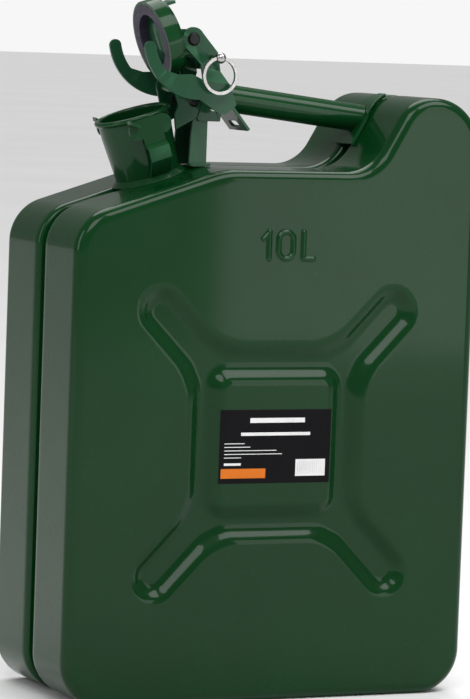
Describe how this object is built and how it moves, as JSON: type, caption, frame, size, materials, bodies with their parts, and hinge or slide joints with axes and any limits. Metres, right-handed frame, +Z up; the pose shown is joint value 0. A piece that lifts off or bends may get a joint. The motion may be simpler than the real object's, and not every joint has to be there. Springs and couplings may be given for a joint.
{
  "type": "metal jerry can",
  "caption": "Green pressed-steel jerry can with a leaning spout, an open cam-lever cap with a safety pin and split ring, and a single tube handle.",
  "frame": {"origin": "middle of the base, on the surface it stands on", "axes": "+X towards the hump end of the handle, away from the spout; +Y to the back; +Z up"},
  "size_m": [0.274, 0.1204, 0.4345],
  "materials": {
    "can_paint": "glossy dark green enamel",
    "spout_paint": "glossy green enamel",
    "fitting_paint": "satin green enamel",
    "seal_rubber": "matte",
    "black_steel": "blackened",
    "bright_steel": "bright nickel",
    "label_film": "satin film"
  },
  "bodies": {
    "can": {"front_shell": "can_paint", "back_shell": "can_paint", "seam_flange": "can_paint", "spout_neck": "spout_paint", "neck_collar": "spout_paint", "vent_tube": "spout_paint", "near_lug": "spout_paint", "far_lug": "spout_paint", "handle_tube": "can_paint", "handle_rear_tab": "can_paint", "handle_post": "fitting_paint", "post_foot": "fitting_paint", "hinge_bracket": "fitting_paint", "bracket_gusset": "fitting_paint", "bracket_rivet": "black_steel", "handle_tongue": "fitting_paint", "hinge_pin": "black_steel", "label": "label_film"},
    "cap": {"cap_shell": "can_paint", "cap_gasket": "seal_rubber", "gasket_plate": "fitting_paint", "cap_ears": "fitting_paint", "cap_hasp": "fitting_paint", "lever_pin": "black_steel"},
    "lever": {"cam_lever": "fitting_paint", "lever_bridge": "fitting_paint"},
    "pin": {"safety_pin": "bright_steel"},
    "ring": {"split_ring": "bright_steel"}
  },
  "joints": [
    {"name": "cap_hinge", "type": "hinge", "parent": "can", "child": "cap", "pos_m": [-0.05102, 0, 0.37936], "axis": [0, -1, 0], "range_deg": [0, 90]},
    {"name": "lever_pivot", "type": "hinge", "parent": "cap", "child": "lever", "pos_m": [-0.04715, 0, 0.40985], "axis": [0, -1, 0], "range_deg": [-31, 40]},
    {"name": "pin_slide", "type": "slide", "parent": "lever", "child": "pin", "axis": [0, -1, 0], "range_m": [0, 0.056]},
    {"name": "ring_swing", "type": "hinge", "parent": "pin", "child": "ring", "pos_m": [-0.03455, -0.0324, 0.39875], "axis": [1, 0, 0], "range_deg": [-80, 0]}
  ]
}
